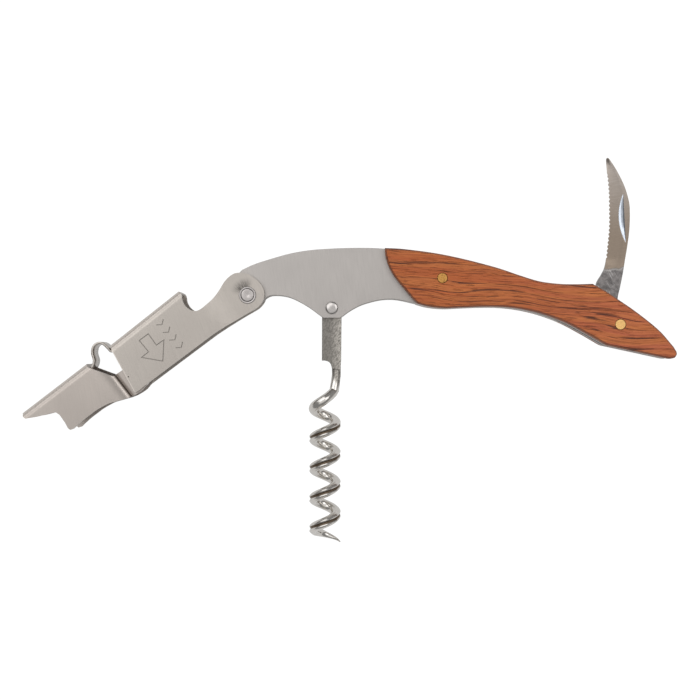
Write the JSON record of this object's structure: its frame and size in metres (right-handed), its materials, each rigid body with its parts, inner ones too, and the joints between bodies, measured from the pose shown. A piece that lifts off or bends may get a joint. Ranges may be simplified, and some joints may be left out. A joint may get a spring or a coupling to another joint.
{
  "type": "waiters corkscrew",
  "caption": "Folding waiter's corkscrew: wooden-scaled handle, folding worm, serrated foil blade, and a sprung two-part bottle lever with a cap-lifter notch.",
  "frame": {"origin": "middle of the wood on the outer flat face of the back scale, the face that the tool rests on", "axes": "+X along the handle towards its tail, +Y across the handle towards its convex top edge, +Z through the thickness from the back scale to the front scale; every pivot runs along Z"},
  "size_m": [0.1755, 0.1046, 0.0118],
  "materials": {
    "brushed_steel": "brushed across the plates",
    "bright_steel": "polished",
    "spring_steel": "satin, tempered",
    "blade_steel": "ground blade, dull scratched tang",
    "red_wood": "oiled reddish hardwood with dark pores",
    "brass": "filed flush"
  },
  "bodies": {
    "handle": {"front_liner": "brushed_steel", "back_liner": "brushed_steel", "front_scale": "red_wood", "back_scale": "red_wood", "head_spacer": "brushed_steel", "blade_spring": "spring_steel", "tail_spacer": "brushed_steel", "worm_rivet": "bright_steel", "scale_pin": "brass", "blade_pin": "brass", "blade_washer_front": "brass", "blade_washer_back": "brass"},
    "lever_pivot": {"lever_rivet": "bright_steel", "lever_washer_front": "bright_steel", "lever_washer_back": "bright_steel", "lever_bush": "bright_steel"},
    "upper_lever": {"upper_lever": "brushed_steel", "elbow_rivet_front": "bright_steel", "elbow_rivet_back": "bright_steel", "leaf_spring": "spring_steel", "spring_rivet": "bright_steel"},
    "lower_lever": {"lower_lever": "brushed_steel"},
    "worm": {"worm": "bright_steel"},
    "blade": {"blade": "blade_steel"}
  },
  "joints": [
    {"name": "worm_fold", "type": "hinge", "parent": "handle", "child": "worm", "pos_m": [-0.0503, -0.0039, 0.0059], "axis": [0, 0, 1], "range_deg": [0, 83]},
    {"name": "lever_stow", "type": "hinge", "parent": "handle", "child": "lever_pivot", "pos_m": [-0.0729, -0.0005, 0.0059], "axis": [0, 0, 1], "range_deg": [0, 82.1]},
    {"name": "lever_swing", "type": "hinge", "parent": "lever_pivot", "child": "upper_lever", "pos_m": [-0.0729, -0.0005, 0.0059], "axis": [0, 0, 1], "range_deg": [-30, 55]},
    {"name": "elbow", "type": "hinge", "parent": "upper_lever", "child": "lower_lever", "pos_m": [-0.1022, -0.0233, 0.0059], "axis": [0, 0, -1], "range_deg": [0, 23.5], "stiffness_Nm_per_rad": 0.15, "springref_deg": -5.73, "deforming": ["leaf_spring"]},
    {"name": "blade_fold", "type": "hinge", "parent": "handle", "child": "blade", "pos_m": [0.0269, -0.0084, 0.0059], "axis": [0, 0, 1], "range_deg": [-85, 64]}
  ],
  "couplings": [
    {"joint": "worm_fold", "follows": "lever_stow", "ratio": 1.0105}
  ]
}
